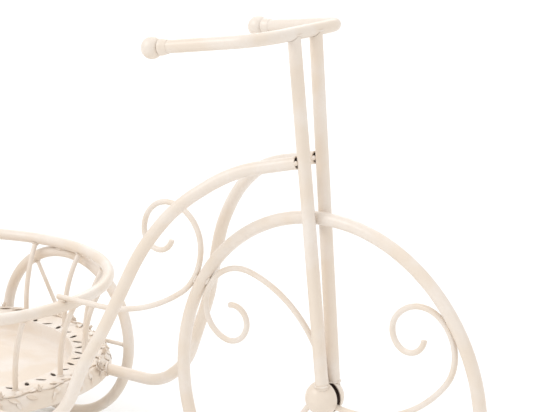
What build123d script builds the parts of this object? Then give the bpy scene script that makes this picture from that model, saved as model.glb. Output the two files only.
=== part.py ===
from build123d import *
from math import atan, cos, degrees, hypot, radians, sin, sqrt, tan
import os

# A plant stand in the shape of a tricycle, bent and welded from round steel.
# X runs forward, Z up, and the origin lies on the floor under the middle of the stand.
# Angles are in degrees and lengths in millimetres.

# Stock and fits
tube_d = 12.0
tube_wall = 1.5
rod_d = 5.5
spoke_d = 4.5
seat = 0.25

# Front wheel and its three scrolls
front_rim_r = 165.0
hub_shell_r = 16.0
hub_shell_wall = 1.5
scroll_root_r = 9.6
scroll_root_angles = {"upper": 75.0, "front": -39.0, "lower": -162.0}
scroll_root_lean = 26.4
scroll_turns = ((119.0, 64.3), (42.0, 90.0), (31.5, 90.0), (19.8, 90.0), (15.8, 118.6))

# Fork and handlebar
leg_foot_lead = 2.6
bar_setback = 26.0
bar_height = 500.0
bar_pitch = 8.2
bar_corner_y = 61.0
bar_bend_r = 31.0
bar_arm_length = 110.7
bar_splay_y = 76.1
ball_d = 20.0

# Basket, its tray and the rear wheels
wheelbase = 500.0
pot_ring_r = 180.0
rear_rim_r = 90.5
rear_wheel_lead = 13.0
ring_rise = 11.0
rear_spokes = 3
rear_boss_r = 10.0
basket_depth = 82.5
bar_count = 16
bar_first_angle = 7.5
bar_inset = 23.0
bar_straight = 7.5
tray_overhang = 2.0
tray_height = 18.0
tray_wall = 2.0
garland_w = 42.0

# Frame tubes, as distances behind the front hub, to the side and above the floor
frame_joint_height = 388.0
frame_bends = (
    (88.1, 23.2, 370.9),
    (135.0, 45.0, 336.4),
    (165.8, 58.3, 294.6),
    (197.9, 78.9, 211.8),
    (218.2, 87.0, 174.3),
    (233.6, 88.0, 135.0),
)
frame_last_bend_back = 269.0
frame_spread = 88.0

# Rear scroll, from the pot ring up and over behind the front wheel
rear_scroll_turns = (
    (182.7, 34.1),
    (56.7, 55.9),
    (38.9, 90.0),
    (29.9, 90.0),
    (18.0, 90.0),
    (16.5, 70.0),
)

# Garland on the tray's rim
slot_count = 48
slot_length = 13.0
slot_w = 4.4
slot_tilt = 35.0
garland_sectors = 6
rose_first_angle = 22.0
rose_d = 13.0
leaf_length = 15.0
leaf_w = 6.4
leaf_thick = 1.6
leaf_steps = (-21.0, -14.0, -7.5, 7.5, 21.0, 28.0)
leaf_tilt = 38.0
bud_step = 14.5
bud_height = 12.0
bud_d = 5.0

# Worked out from the sizes above
tube_r = tube_d / 2
rod_r = rod_d / 2
spoke_r = spoke_d / 2
length = wheelbase + front_rim_r + pot_ring_r + tube_d
hub_x = length / 2 - front_rim_r - tube_r
hub_z = front_rim_r + tube_r
ring_x = hub_x - wheelbase
ring_z = 2 * rear_rim_r + tube_r + ring_rise
shell_y = rod_r + seat
rear_hub_x = ring_x + rear_wheel_lead
rear_hub_z = rear_rim_r + tube_r
rear_rim_y = sqrt(pot_ring_r**2 - rear_wheel_lead**2) + sqrt((tube_d + seat) ** 2 - ring_rise**2)
tray_r = pot_ring_r + tray_overhang
tray_top = ring_z - basket_depth
tray_bottom = tray_top - tray_height
garland_in_r = tray_r - garland_w
basket_bar_r = pot_ring_r - bar_inset

wheel_plane = Plane(origin=(hub_x, 0, hub_z), x_dir=(1, 0, 0), z_dir=(0, -1, 0))
sides = {"left": 1, "right": -1}
os.makedirs("parts", exist_ok=True)


def save(part, name):
    """Label a finished piece and write it to its own file."""
    part.label = name
    export_step(part, f"parts/{name}.step")


def trace_turns(start, heading, turns):
    """Give each arc's start, heading and centre, for arcs that follow on and turn left."""
    x, y = start
    traced = []
    for radius, turn in turns:
        centre = (x - radius * sin(radians(heading)), y + radius * cos(radians(heading)))
        traced.append(((x, y), heading, centre))
        heading += turn
        x = centre[0] + radius * sin(radians(heading))
        y = centre[1] - radius * cos(radians(heading))
    return traced


def draw_turns(start, heading, turns):
    """Draw arcs that follow on from each other, all turning left, from a point and a heading."""
    for (radius, turn), (point, way, _) in zip(turns, trace_turns(start, heading, turns)):
        JernArc(point, (cos(radians(way)), sin(radians(way))), radius, turn)


def bend_radii(points):
    """Give each inner point of a tube's route the largest bend that its two runs allow."""
    radii = []
    for before, corner, after in zip(points, points[1:], points[2:]):
        run_in = corner - before
        run_out = after - corner
        half_turn = radians(run_in.get_angle(run_out) / 2)
        radii.append(0.45 * min(run_in.length, run_out.length) / tan(half_turn))
    return radii


def start_plane(path):
    """Plane square to a route at its start, for the section that is swept along it."""
    return Plane(origin=path.wire() @ 0, z_dir=path.wire() % 0)


# Front rim
with BuildPart() as front_rim:
    with Locations((hub_x, 0, hub_z)):
        Torus(front_rim_r, tube_r, rotation=(90, 0, 0))
save(front_rim.part, "front_rim")

# Front scrolls: each is one rod that starts between the hub shells, sweeps out until its
# second arc touches the rim, and winds in again
_, _, touch_centre = trace_turns((scroll_root_r, 0), scroll_root_lean, scroll_turns)[1]
scroll_reach = hypot(*touch_centre) + scroll_turns[1][0]
scroll_size = (front_rim_r - tube_r - rod_r - seat) / scroll_reach
for name, angle in scroll_root_angles.items():
    root_r = scroll_root_r * scroll_size
    root = (root_r * cos(radians(angle)), root_r * sin(radians(angle)))
    turns = [(radius * scroll_size, turn) for radius, turn in scroll_turns]
    with BuildPart() as scroll:
        with BuildLine(wheel_plane) as route:
            draw_turns(root, angle + scroll_root_lean, turns)
        with BuildSketch(start_plane(route)):
            Circle(rod_r)
        sweep(path=route.line)
    save(scroll.part, f"front_scroll_{name}")

# Hub shells: two hollow half balls, rim to rim over the scrolls' roots
for name, side in sides.items():
    with BuildPart() as shell:
        with Locations((hub_x, side * shell_y, hub_z)):
            Sphere(hub_shell_r, arc_size1=0, rotation=(-90 * side, 0, 0), align=None)
            Sphere(
                hub_shell_r - hub_shell_wall,
                arc_size1=0,
                rotation=(-90 * side, 0, 0),
                align=None,
                mode=Mode.SUBTRACT,
            )
    save(shell.part, f"hub_shell_{name}")

# Fork legs: straight tubes that stand on the shells, pass the rim and carry the handlebar
leg_foot_z = hub_z + tube_r + hub_shell_r
leg_foot_y = shell_y + tube_r
leg_rim_y = tube_d + seat
leg_rim_z = hub_z + front_rim_r
leg_lean = (leg_rim_y - leg_foot_y) / (leg_rim_z - leg_foot_z)
leg_rake = (bar_setback + leg_foot_lead) / (bar_height - leg_foot_z)


def leg_point(height, side):
    """Point on a fork leg's axis at a height above the floor."""
    rise = height - leg_foot_z
    return Vector(
        hub_x + leg_foot_lead - leg_rake * rise, side * (leg_foot_y + leg_lean * rise), height
    )


for name, side in sides.items():
    foot = leg_point(hub_z + hub_shell_r / 4, side)
    top = leg_point(bar_height, side)
    with BuildPart() as leg:
        with BuildSketch(Plane(origin=foot, z_dir=top - foot)):
            Circle(tube_r)
        extrude(amount=(top - foot).length)
        with Locations((hub_x, side * shell_y, hub_z)):
            Sphere(hub_shell_r + seat, mode=Mode.SUBTRACT)
        with Locations((hub_x - bar_setback, 0, bar_height)):
            Cylinder(tube_r + seat, 2 * bar_corner_y, rotation=(90, 0, 0), mode=Mode.SUBTRACT)
    save(leg.part, f"fork_leg_{name}")

# Handlebar: one bent tube, pitched down to the rear, with a ball on each end
pitch = radians(bar_pitch)
bar_plane = Plane(
    origin=(hub_x - bar_setback, 0, bar_height),
    x_dir=(cos(pitch), 0, sin(pitch)),
    z_dir=(-sin(pitch), 0, cos(pitch)),
)
arm_lengthwise = hypot(bar_arm_length, bar_splay_y - bar_corner_y)
arm_end = 1 - seat / arm_lengthwise
arm_end_x = -bar_arm_length * arm_end
arm_end_y = bar_corner_y + (bar_splay_y - bar_corner_y) * arm_end
with BuildPart() as handlebar:
    with BuildLine(bar_plane) as route:
        FilletPolyline(
            (arm_end_x, arm_end_y),
            (0, bar_corner_y),
            (0, -bar_corner_y),
            (arm_end_x, -arm_end_y),
            radius=bar_bend_r,
        )
    with BuildSketch(start_plane(route)):
        Circle(tube_r)
    sweep(path=route.line)
save(handlebar.part, "handlebar")

ball_r = ball_d / 2
bore_r = tube_r + seat
bore_mouth = sqrt(ball_r**2 - bore_r**2)
for name, side in sides.items():
    ball_centre = bar_plane.from_local_coords(Vector(-bar_arm_length, side * bar_splay_y, 0))
    corner = bar_plane.from_local_coords(Vector(0, side * bar_corner_y, 0))
    arm = (corner - ball_centre).normalized()
    with BuildPart() as ball:
        with BuildSketch(Plane(origin=ball_centre, x_dir=arm, z_dir=bar_plane.z_dir)):
            with BuildLine():
                ThreePointArc((-ball_r, 0), (0, ball_r), (bore_mouth, bore_r))
                Polyline((bore_mouth, bore_r), (0, bore_r), (0, 0), (-ball_r, 0))
            make_face()
        revolve(axis=Axis(ball_centre, arm))
    save(ball.part, f"grip_ball_{name}")

# Frame tubes: open tubes that butt flat against the legs, arch down past the front
# wheel and end on the tray's side
tray_side_x = ring_x + sqrt(tray_r**2 - frame_spread**2)
frame_foot_z = (tray_top + tray_bottom) / 2
for name, side in sides.items():
    joint = leg_point(frame_joint_height, side)
    bends = [Vector(hub_x - back, side * out, up) for back, out, up in frame_bends]
    bends.append(Vector(hub_x - frame_last_bend_back, side * frame_spread, frame_foot_z))
    heading = (bends[0] - joint).normalized()
    leg_heading = (leg_point(bar_height, side) - joint).normalized()
    lean = abs(90 - heading.get_angle(leg_heading))
    first = joint + heading * (tube_r + seat + tube_r * tan(radians(lean)))
    last = Vector(tray_side_x - tube_d, side * frame_spread, frame_foot_z)
    points = [first, *bends, last]
    with BuildPart() as frame_tube:
        with BuildLine() as route:
            FilletPolyline(*points, radius=bend_radii(points))
        with BuildSketch(start_plane(route)):
            Circle(tube_r)
            Circle(tube_r - tube_wall, mode=Mode.SUBTRACT)
        sweep(path=route.line)
        with Locations((ring_x, 0, frame_foot_z)):
            Cylinder(tray_r + seat, 3 * tray_height, mode=Mode.SUBTRACT)
    save(frame_tube.part, f"frame_tube_{name}")

# Rear scroll: it lies on the pot ring, and its lead is as long as it takes for the second
# arc to touch the front rim from behind
rear_scroll_z = ring_z + tube_r + rod_r + seat
rear_scroll_x = ring_x + pot_ring_r - tube_r
(sweep_r, sweep_turn), (touch_r, _) = rear_scroll_turns[:2]
touch_centre_z = rear_scroll_z + sweep_r - (sweep_r - touch_r) * cos(radians(sweep_turn))
touch_reach = front_rim_r + tube_r + rod_r + seat + touch_r
touch_centre_x = hub_x - sqrt(touch_reach**2 - (touch_centre_z - hub_z) ** 2)
lead_end_x = touch_centre_x - (sweep_r - touch_r) * sin(radians(sweep_turn))
with BuildPart() as rear_scroll:
    with BuildLine(wheel_plane) as route:
        Line((rear_scroll_x - hub_x, rear_scroll_z - hub_z), (lead_end_x - hub_x, rear_scroll_z - hub_z))
        draw_turns((lead_end_x - hub_x, rear_scroll_z - hub_z), 0, rear_scroll_turns)
    with BuildSketch(start_plane(route)):
        Circle(rod_r)
    sweep(path=route.line)
save(rear_scroll.part, "rear_scroll")

# Pot ring
with BuildPart() as pot_ring:
    with Locations((ring_x, 0, ring_z)):
        Torus(pot_ring_r, tube_r)
save(pot_ring.part, "pot_ring")

# Basket bars: each stands on the tray's rim and flares out to end under the pot ring
flare_z = tray_top + bar_straight
flare_run = ring_z - flare_z
flare_r = (bar_inset**2 + flare_run**2) / (2 * bar_inset)
flare_turn = degrees(2 * atan(bar_inset / flare_run) - (tube_r + seat) / flare_r)
for number in range(bar_count):
    angle = radians(bar_first_angle + 360 / bar_count * number)
    radial_plane = Plane(
        origin=(ring_x, 0, 0), x_dir=(cos(angle), sin(angle), 0), z_dir=(sin(angle), -cos(angle), 0)
    )
    with BuildPart() as basket_bar:
        with BuildLine(radial_plane) as route:
            Line((basket_bar_r, tray_top + seat), (basket_bar_r, flare_z))
            JernArc((basket_bar_r, flare_z), (0.0, 1.0), flare_r, -flare_turn)
        with BuildSketch(start_plane(route)):
            Circle(rod_r)
        sweep(path=route.line)
    save(basket_bar.part, f"basket_bar_{number + 1:02d}")

# Tray: a recessed floor and a wide hollow rim, pierced by a ring of leaf-shaped slots
with BuildPart() as tray:
    with BuildSketch(Plane(origin=(ring_x, 0, 0), x_dir=(1, 0, 0), z_dir=(0, -1, 0))):
        with BuildLine():
            Polyline(
                (0, tray_bottom),
                (garland_in_r + tray_wall, tray_bottom),
                (garland_in_r + tray_wall, tray_top - tray_wall),
                (tray_r - tray_wall, tray_top - tray_wall),
                (tray_r - tray_wall, tray_bottom),
                (tray_r, tray_bottom),
                (tray_r, tray_top),
                (garland_in_r, tray_top),
                (garland_in_r, tray_bottom + tray_wall),
                (0, tray_bottom + tray_wall),
                close=True,
            )
        make_face()
    revolve(axis=Axis((ring_x, 0, 0), (0, 0, 1)))
    slot_r = (garland_in_r + tray_wall + basket_bar_r - rod_r) / 2
    with BuildSketch(Plane((ring_x, 0, tray_top))) as slots:
        for number in range(slot_count):
            tilt = slot_tilt if number % 2 else -slot_tilt
            with PolarLocations(slot_r, 1, start_angle=360 / slot_count * number):
                with BuildSketch(mode=Mode.PRIVATE) as slot:
                    with BuildLine():
                        ThreePointArc((-slot_length / 2, 0), (0, slot_w / 2), (slot_length / 2, 0))
                        ThreePointArc((-slot_length / 2, 0), (0, -slot_w / 2), (slot_length / 2, 0))
                    make_face()
                add(slot.sketch, rotation=tilt)
    extrude(amount=-2 * tray_wall, mode=Mode.SUBTRACT)
save(tray.part, "plant_tray")

# Roses: a ring of outer petals, a ring of inner petals and a bud, one in each sector
rose_r = rose_d / 2
rose_ring_r = tray_r - rose_r
rose_z = tray_top + seat
with BuildPart() as roses:
    for number in range(garland_sectors):
        angle = rose_first_angle + 360 / garland_sectors * number
        rose_plane = Plane(
            origin=(
                ring_x + rose_ring_r * cos(radians(angle)),
                rose_ring_r * sin(radians(angle)),
                rose_z,
            ),
            x_dir=(1, 0, 0),
            z_dir=(0, -1, 0),
        )
        with BuildSketch(rose_plane):
            with BuildLine():
                Polyline(
                    (0, 0),
                    (0.55 * rose_r, 0),
                    (0.95 * rose_r, 0.40 * rose_r),
                    (1.00 * rose_r, 0.85 * rose_r),
                    (0.78 * rose_r, 0.95 * rose_r),
                    (0.66 * rose_r, 0.70 * rose_r),
                    (0.60 * rose_r, 1.20 * rose_r),
                    (0.42 * rose_r, 1.30 * rose_r),
                    (0.32 * rose_r, 0.95 * rose_r),
                    (0.24 * rose_r, 1.40 * rose_r),
                    (0, 1.50 * rose_r),
                    close=True,
                )
            make_face()
        revolve(axis=Axis(rose_plane.origin, (0, 0, 1)))
save(roses.part, "tray_roses")

# Leaves: raised ribs that lie on the rim in pairs beside each rose
leaf_ring_r = (basket_bar_r + rod_r + tray_r) / 2
with BuildPart() as leaves:
    for number in range(garland_sectors):
        for step in leaf_steps:
            angle = rose_first_angle + 360 / garland_sectors * number + step
            leaf_plane = Plane(
                origin=(
                    ring_x + leaf_ring_r * cos(radians(angle)),
                    leaf_ring_r * sin(radians(angle)),
                    tray_top,
                ),
                x_dir=(cos(radians(angle)), sin(radians(angle)), 0),
                z_dir=(0, 0, 1),
            ).rotated((0, 0, leaf_tilt if step > 0 else -leaf_tilt))
            with BuildSketch(leaf_plane):
                with BuildLine():
                    ThreePointArc((-leaf_length / 2, 0), (0, leaf_w / 2), (leaf_length / 2, 0))
                    ThreePointArc((-leaf_length / 2, 0), (0, -leaf_w / 2), (leaf_length / 2, 0))
                make_face()
            extrude(amount=leaf_thick)
save(leaves.part, "tray_leaves")

# Buds: slim pointed buds that stand on the rim between the roses
with BuildPart() as buds:
    for number in range(garland_sectors):
        angle = rose_first_angle + 360 / garland_sectors * number + bud_step
        bud_ring_r = tray_r - bud_d / 2
        bud_plane = Plane(
            origin=(
                ring_x + bud_ring_r * cos(radians(angle)),
                bud_ring_r * sin(radians(angle)),
                tray_top + seat,
            ),
            x_dir=(1, 0, 0),
            z_dir=(0, -1, 0),
        )
        with BuildSketch(bud_plane):
            with BuildLine():
                Polyline(
                    (0, 0),
                    (0.3 * bud_d, 0),
                    (0.5 * bud_d, 0.25 * bud_height),
                    (0.42 * bud_d, 0.5 * bud_height),
                    (0.12 * bud_d, bud_height),
                    (0, bud_height),
                    close=True,
                )
            make_face()
        revolve(axis=Axis(bud_plane.origin, (0, 0, 1)))
save(buds.part, "tray_buds")

# Rear wheels: a rim, a boss that lies on the tray's side, and straight spokes between them
boss_in_y = tray_r + seat
boss_out_y = 2 * rear_rim_y - boss_in_y
for name, side in sides.items():
    with BuildPart() as rear_rim:
        with Locations((rear_hub_x, side * rear_rim_y, rear_hub_z)):
            Torus(rear_rim_r, tube_r, rotation=(90, 0, 0))
    save(rear_rim.part, f"rear_rim_{name}")

    with BuildPart() as boss:
        with Locations((rear_hub_x, side * rear_rim_y, rear_hub_z)):
            Cylinder(rear_boss_r, boss_out_y - boss_in_y, rotation=(90, 0, 0))
    save(boss.part, f"rear_boss_{name}")

    for number in range(rear_spokes):
        angle = radians(360 / rear_spokes * number)
        out = Vector(cos(angle), 0, sin(angle))
        root = Vector(rear_hub_x, side * rear_rim_y, rear_hub_z) + out * (rear_boss_r + seat)
        with BuildPart() as spoke:
            with BuildSketch(Plane(origin=root, z_dir=out)):
                Circle(spoke_r)
            extrude(amount=rear_rim_r - tube_r - rear_boss_r - 2 * seat)
        save(spoke.part, f"rear_spoke_{name}_{number + 1}")
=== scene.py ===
"""Looks of a plant stand in the shape of a tricycle: finishes, welds, tray and garland."""

import logging
from collections import defaultdict
from collections.abc import Callable, Iterable, Iterator
from contextlib import contextmanager
from dataclasses import dataclass, field
from enum import Enum
from functools import lru_cache
from math import cos, pi, radians, sin, tau
from typing import NamedTuple

import bmesh
import bpy
from mathutils import Matrix, Vector
from mathutils.bvhtree import BVHTree


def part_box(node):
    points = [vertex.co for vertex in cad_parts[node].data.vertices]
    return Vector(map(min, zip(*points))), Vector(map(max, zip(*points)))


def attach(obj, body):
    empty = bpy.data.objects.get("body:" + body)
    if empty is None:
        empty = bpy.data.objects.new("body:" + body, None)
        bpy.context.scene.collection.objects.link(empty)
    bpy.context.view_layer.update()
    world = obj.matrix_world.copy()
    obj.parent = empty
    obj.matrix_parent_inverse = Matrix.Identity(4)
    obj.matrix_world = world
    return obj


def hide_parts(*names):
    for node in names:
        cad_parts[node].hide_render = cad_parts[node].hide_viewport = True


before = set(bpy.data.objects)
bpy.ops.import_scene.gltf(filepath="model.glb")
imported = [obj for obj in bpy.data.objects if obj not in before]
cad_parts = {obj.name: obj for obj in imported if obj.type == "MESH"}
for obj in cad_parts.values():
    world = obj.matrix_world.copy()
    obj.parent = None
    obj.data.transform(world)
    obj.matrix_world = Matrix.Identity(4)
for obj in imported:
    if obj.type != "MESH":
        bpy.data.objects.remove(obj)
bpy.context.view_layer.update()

logging.basicConfig(level=logging.INFO, format="%(message)s")
log = logging.getLogger("plant_stand")

MM = 0.001
BODY = "root"
UP = Vector((0.0, 0.0, 1.0))
FORWARD = Vector((1.0, 0.0, 0.0))
SIDEWAYS = Vector((0.0, 1.0, 0.0))

Colour = tuple[float, float, float]
Place = tuple[float, float, float]
Piece = bpy.types.Object
ORIGIN: Place = (0.0, 0.0, 0.0)


class Finish(Enum):
    """The finishes that the stand's surfaces have."""

    TUBE = "tube_coat"
    ROD = "rod_coat"
    TRAY = "tray_coat"
    GARLAND = "garland_coat"
    WELD = "weld_coat"
    HUB_LEFT = "hub_left_coat"
    HUB_RIGHT = "hub_right_coat"
    FRAME_LEFT = "frame_left_coat"
    FRAME_RIGHT = "frame_right_coat"
    FLOOR = "studio_floor"


@dataclass
class Wire:
    """An output socket on which Python's operators add Math nodes."""

    bench: "Bench"
    socket: bpy.types.NodeSocket

    def _math(self, operation: str, first: "Wire | float", second: "Wire | float") -> "Wire":
        """Add a Math node on two values and give its result."""
        return self.bench.add("ShaderNodeMath", {"operation": operation}, {0: first, 1: second})

    def __add__(self, other: "Wire | float") -> "Wire":
        """Give the sum of two values."""
        return self._math("ADD", self, other)

    __radd__ = __add__

    def __sub__(self, other: "Wire | float") -> "Wire":
        """Give the difference of two values."""
        return self._math("SUBTRACT", self, other)

    def __rsub__(self, other: "Wire | float") -> "Wire":
        """Give the difference of a number and this value."""
        return self._math("SUBTRACT", other, self)

    def __mul__(self, other: "Wire | float") -> "Wire":
        """Give the product of two values."""
        return self._math("MULTIPLY", self, other)

    def below(self, limit: float, blur: float) -> "Wire":
        """Give 1 where the value is under a limit and 0 over it, with a step as wide as the blur."""
        return self.bench.add(
            "ShaderNodeMapRange",
            {"interpolation_type": "SMOOTHSTEP"},
            {
                "Value": self,
                "From Min": limit - blur / 2,
                "From Max": limit + blur / 2,
                "To Min": 1.0,
                "To Max": 0.0,
            },
        )


class Bench:
    """A material's node tree, with one method that adds any node to it."""

    def __init__(self, name: str) -> None:
        """Start a material with an empty tree."""
        self.material = bpy.data.materials.new(name)
        self.material.use_nodes = True
        self.tree = self.material.node_tree
        self.tree.nodes.clear()

    def add(
        self,
        kind: str,
        settings: dict[str, object],
        inputs: "dict[int | str, Wire | float | tuple]",
        output: int | str = 0,
    ) -> Wire:
        """Add a node, set its properties, fill its sockets and give one of its outputs."""
        node = self.tree.nodes.new(kind)
        for key, value in settings.items():
            setattr(node, key, value)
        for key, value in inputs.items():
            if isinstance(value, Wire):
                self.tree.links.new(value.socket, node.inputs[key])
            else:
                node.inputs[key].default_value = value
        return Wire(self, node.outputs[output]) if node.outputs else Wire(self, node.inputs[0])

    def place(self) -> Wire:
        """Give the coordinates of a point on the piece, in metres in the stand's frame."""
        return self.add("ShaderNodeTexCoord", {}, {}, "Object")

    def noise(self, size: float, detail: float = 2.0, roughness: float = 0.5) -> Wire:
        """Give a cloudy pattern whose lumps have about the given size in metres."""
        inputs = {"Vector": self.place(), "Scale": 1 / size, "Detail": detail, "Roughness": roughness}
        return self.add("ShaderNodeTexNoise", {}, inputs)

    def blend(self, mask: "Wire | float", off: "Wire | Colour", on: "Wire | Colour") -> Wire:
        """Mix two colours by a mask."""
        ends = [(*value, 1.0) if isinstance(value, tuple) else value for value in (off, on)]
        inputs = {0: mask, 6: ends[0], 7: ends[1]}
        return self.add("ShaderNodeMix", {"data_type": "RGBA"}, inputs, 2)

    def vector(self, operation: str, first: "Wire", second: "Wire | Place", output: int = 0) -> Wire:
        """Add a Vector Math node."""
        return self.add("ShaderNodeVectorMath", {"operation": operation}, {0: first, 1: second}, output)

    def length(self, vector: "Wire") -> Wire:
        """Give the length of a vector."""
        return self.vector("LENGTH", vector, ORIGIN, 1)

    def finish(self, surface: Wire) -> bpy.types.Material:
        """Link the surface to the material's output and give the material."""
        self.add("ShaderNodeOutputMaterial", {}, {"Surface": surface})
        return self.material


@dataclass(frozen=True)
class HollowShade:
    """The inside of a shell or a bore, painted dark brown as painted shade where the hollow lies in
    shadow.
    """

    centre: Place
    radius: float
    axis: Place | None = None
    reach: float = 30 * MM
    # the dark brown of the painted shade inside the hollow
    shade_colour: Colour = (0.085, 0.052, 0.040)
    roughness: float = 0.75

    def mask(self, bench: Bench) -> Wire:
        """Give 1 on the inside that gets the painted shade: within the radius of a centre, or of a line
        near it.
        """
        blur = 0.3 * MM
        away = bench.vector("SUBTRACT", bench.place(), self.centre)
        span = bench.length(away)
        if self.axis is None:
            return span.below(self.radius, blur)
        off_line = bench.length(bench.vector("CROSS_PRODUCT", away, self.axis))
        return off_line.below(self.radius, blur) * span.below(self.reach, blur)


@dataclass(frozen=True)
class PowderCoat:
    """Cream powder coat: soft gloss, faint orange peel and slow changes of tone, with painted shade
    inside a hollow when one is given.
    """

    name: str
    coat: Colour = (0.762, 0.678, 0.596)
    thick: Colour = (0.730, 0.615, 0.495)
    thin: Colour = (0.805, 0.745, 0.690)
    tone_size: float = 46 * MM
    grain_size: float = 3.2 * MM
    peel_size: float = 1.1 * MM
    peel_height: float = 0.05 * MM
    speck_size: float = 5.5 * MM
    gloss: float = 0.36
    gloss_change: float = 0.16
    clear_coat: float = 0.18
    hollow_shade: HollowShade | None = None

    def make(self) -> bpy.types.Material:
        """Build the material, with colour, roughness and bump worked out from the place on the piece."""
        bench = Bench(self.name)
        tone = bench.noise(self.tone_size, 3.0)
        grain = bench.noise(self.grain_size, 2.0, 0.6)
        pooled = (0.62 - tone).below(0.10, 0.16)
        rubbed = (tone + grain * 0.35).below(0.56, 0.18)
        colour = bench.blend(pooled * 0.55, self.coat, self.thick)
        colour = bench.blend(rubbed * 0.40, colour, self.thin)
        speck = bench.add(
            "ShaderNodeTexVoronoi",
            {"feature": "F1"},
            {"Vector": bench.place(), "Scale": 1 / self.speck_size},
            "Distance",
        )
        fleck = speck.below(0.055, 0.03) * grain
        colour = bench.blend(fleck * 0.30, colour, tuple(0.55 * part for part in self.thick))
        rough = self.gloss + (tone - 0.5) * self.gloss_change + (grain - 0.5) * (self.gloss_change / 2)
        rough = rough + fleck * 0.2
        # painted shade: the hollow's inside turns dark brown, varied by the grain, and matte
        if self.hollow_shade:
            shade_mask = self.hollow_shade.mask(bench)
            shade_colour = tuple(1.9 * part for part in self.hollow_shade.shade_colour)
            colour = bench.blend(shade_mask, colour, bench.blend(grain, self.hollow_shade.shade_colour, shade_colour))
            rough = rough * (1 - shade_mask) + shade_mask * self.hollow_shade.roughness
        peel = bench.noise(self.peel_size, 1.0)
        dent = bench.noise(self.tone_size / 4, 1.0)
        bump = bench.add(
            "ShaderNodeBump",
            {},
            {
                "Strength": 0.55,
                "Distance": self.peel_height,
                "Height": peel + dent * 2.0 - fleck * 1.5,
            },
            "Normal",
        )
        surface = bench.add(
            "ShaderNodeBsdfPrincipled",
            {},
            {
                "Base Color": colour,
                "Roughness": rough,
                "Specular IOR Level": 0.42,
                "Coat Weight": self.clear_coat,
                "Coat Roughness": 0.22,
                "Normal": bump,
            },
        )
        return bench.finish(surface)


@dataclass(frozen=True)
class StudioFloor:
    """Plain pale paper under the stand."""

    name: str
    paper: Colour = (0.93, 0.93, 0.925)
    fibre: Colour = (0.90, 0.90, 0.895)

    def make(self) -> bpy.types.Material:
        """Build the paper's material."""
        bench = Bench(self.name)
        cloud = bench.noise(0.35, 3.0)
        surface = bench.add(
            "ShaderNodeBsdfPrincipled",
            {},
            {"Base Color": bench.blend(cloud, self.paper, self.fibre), "Roughness": 0.75 + cloud * 0.1},
        )
        return bench.finish(surface)


def deselect() -> None:
    """Deselect everything, because an operator acts on all that is selected."""
    bpy.ops.object.select_all(action="DESELECT")


def hold(piece: Piece) -> None:
    """Make a piece the one that operators act on."""
    deselect()
    piece.select_set(True)
    bpy.context.view_layer.objects.active = piece


@contextmanager
def shaping(piece: Piece) -> Iterator[None]:
    """Open a piece in edit mode with nothing selected, and close it again."""
    hold(piece)
    bpy.ops.object.mode_set(mode="EDIT")
    bpy.ops.mesh.select_mode(type="VERT")
    bpy.ops.mesh.select_all(action="DESELECT")
    yield
    bpy.ops.object.mode_set(mode="OBJECT")


def pick_all() -> None:
    """Select all of an open piece."""
    bpy.ops.mesh.select_all(action="SELECT")


def slide(x: float, y: float, z: float) -> None:
    """Move what is selected."""
    bpy.ops.transform.translate(value=(x, y, z))


def stretch(x: float, y: float, z: float, about: Place | None = None) -> None:
    """Resize what is selected, about a place or about its own middle."""
    centre = {"center_override": about} if about else {}
    bpy.ops.transform.resize(value=(x, y, z), **centre)


def turn_profile(start: tuple[float, float], steps: Iterable[tuple[float, float]]) -> None:
    """Extrude the selected ring through a profile about the Z axis.

    Args:
        start: The ring's radius and height.
        steps: The radius and height of each next ring.
    """
    radius, height = start
    for next_radius, next_height in steps:
        bpy.ops.mesh.extrude_region_move(TRANSFORM_OT_translate={"value": (0, 0, next_height - height)})
        grow = next_radius / radius
        stretch(grow, grow, 1.0, ORIGIN)
        radius, height = next_radius, next_height


def pick(piece: Piece, test: Callable[[Vector], bool]) -> None:
    """Select the vertices of an open piece that pass a test on their place."""
    shape = bmesh.from_edit_mesh(piece.data)
    for vertex in shape.verts:
        vertex.select_set(test(vertex.co))
    shape.select_flush_mode()
    bmesh.update_edit_mesh(piece.data)


def pick_open_edge(piece: Piece, radius: float, slack: float) -> None:
    """Select the open edges of a piece that lie near a circle about the Z axis."""
    shape = bmesh.from_edit_mesh(piece.data)
    for edge in shape.edges:
        near = all(abs(vertex.co.xy.length - radius) < slack for vertex in edge.verts)
        edge.select_set(edge.is_boundary and near)
    bmesh.update_edit_mesh(piece.data)


def settle(piece: Piece, gap: float) -> None:
    """Merge a piece's doubled vertices and turn its faces outwards."""
    with shaping(piece):
        pick_all()
        bpy.ops.mesh.remove_doubles(threshold=gap)
        bpy.ops.mesh.normals_make_consistent(inside=False)


def smooth(piece: Piece, angle: float = 40.0) -> None:
    """Shade a piece smooth, apart from edges sharper than an angle in degrees."""
    hold(piece)
    bpy.ops.object.shade_smooth_by_angle(angle=radians(angle))


def modify(piece: Piece, kind: str, **settings: object) -> None:
    """Add a modifier of a kind to a piece, with its settings, and apply it."""
    hold(piece)
    modifier = piece.modifiers.new(kind, kind)
    for key, value in settings.items():
        setattr(modifier, key, value)
    bpy.ops.object.modifier_apply(modifier=modifier.name)


def subdivide(piece: Piece, levels: int = 1) -> None:
    """Round a piece with a subdivision surface and apply it."""
    modify(piece, "SUBSURF", levels=levels, render_levels=levels, use_limit_surface=False)


def heading(angle: float) -> Vector:
    """Give the level unit vector at an angle in degrees from the X axis."""
    turn = radians(angle)
    return Vector((cos(turn), sin(turn), 0.0))


def drop(*pieces: Piece) -> None:
    """Delete the masters that copies were made from."""
    deselect()
    for piece in pieces:
        piece.select_set(True)
    bpy.ops.object.delete()


def copy_to(master: Piece, where: Matrix) -> Piece:
    """Copy a piece with its own mesh to a place given by a matrix."""
    twin = master.copy()
    twin.data = master.data.copy()
    twin.data.transform(where)
    bpy.context.scene.collection.objects.link(twin)
    return twin


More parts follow.
